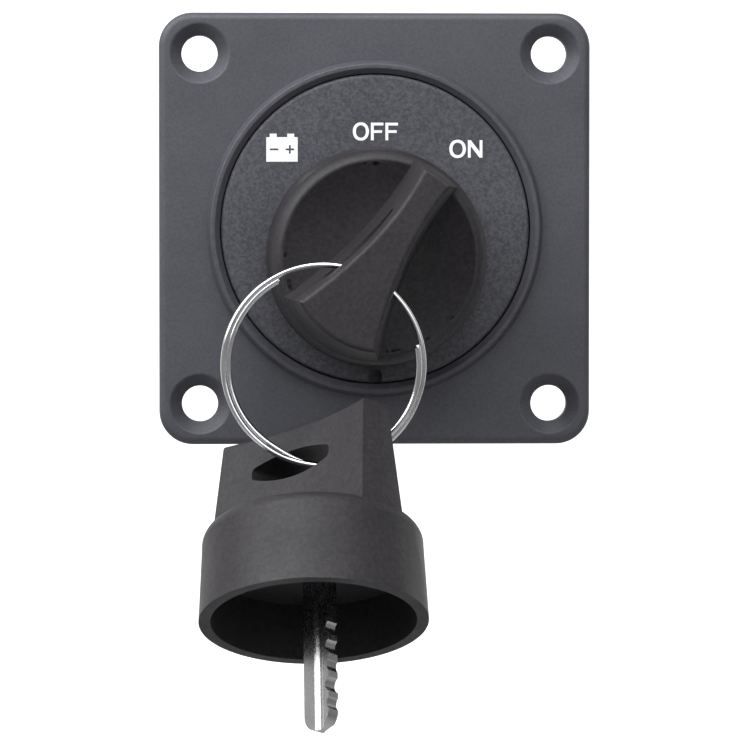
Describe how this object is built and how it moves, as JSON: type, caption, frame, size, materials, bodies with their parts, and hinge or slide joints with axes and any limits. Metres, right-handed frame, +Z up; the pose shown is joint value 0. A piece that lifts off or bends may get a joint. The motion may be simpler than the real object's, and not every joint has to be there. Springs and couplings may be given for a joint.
{
  "type": "battery switch",
  "caption": "Square panel-mount battery isolator switch, turned by a removable finned key knob, with an identical spare key hanging on its split ring.",
  "frame": {"origin": "centre of the four panel screws, on the face plate's back face, where it lies on the panel", "axes": "+Y is the panel's inward normal (the studs end towards +Y, the key towards -Y); +Z is up in the mounted position; +X is right when seen from the front"},
  "size_m": [0.069, 0.1162, 0.11],
  "materials": {
    "plate_plastic": "moulded, fine satin",
    "dial_plastic": "spark-eroded fine grain",
    "case_plastic": "moulded, satin",
    "knob_plastic": "soft satin",
    "white_marking": "printed",
    "rotor_plastic": "moulded",
    "seal_rubber": "matt",
    "ring_steel": "nickel plated spring wire",
    "blade_steel": "nickel plated, milled",
    "stainless": "brushed",
    "lock_zinc": "plated zinc",
    "brass": "turned",
    "copper": "tinned copper"
  },
  "bodies": {
    "switch": {"face_plate": "plate_plastic", "dial": "dial_plastic", "front_housing": "case_plastic", "rear_housing": "case_plastic", "case_gasket": "seal_rubber", "case_screws": "stainless", "battery_stud": "copper", "load_stud": "copper", "stud_plain_washers": "stainless", "stud_spring_washers": "stainless", "stud_nuts": "stainless", "lock_barrel": "lock_zinc", "barrel_seal": "seal_rubber", "barrel_nut": "brass"},
    "rotor": {"lock_plug": "brass", "lock_wafers": "brass", "plug_clip": "stainless", "rotor": "rotor_plastic", "detent_balls": "stainless", "detent_springs": "stainless", "contact_spring": "stainless", "moving_contact": "copper"},
    "key": {"key_knob": "knob_plastic", "key_blade": "blade_steel"},
    "ring": {"key_ring": "ring_steel"},
    "spare_key": {"spare_key_knob": "knob_plastic", "spare_key_blade": "blade_steel"}
  },
  "joints": [
    {"name": "key_turn", "type": "hinge", "parent": "switch", "child": "rotor", "pos_m": [0, 0, -0.0045], "axis": [0, -1, 0], "range_deg": [0, 34]},
    {"name": "key_pull", "type": "slide", "parent": "rotor", "child": "key", "axis": [0, -1, 0], "range_m": [0, 0.03]},
    {"name": "ring_swing", "type": "hinge", "parent": "key", "child": "ring", "pos_m": [-0.0026, -0.0306, -0.0071], "axis": [0, -1, 0], "range_deg": [-17, 8]},
    {"name": "spare_key_swing", "type": "hinge", "parent": "ring", "child": "spare_key", "pos_m": [-0.009, -0.0306, -0.0364], "axis": [1, 0, 0], "range_deg": [-30, 15]}
  ]
}
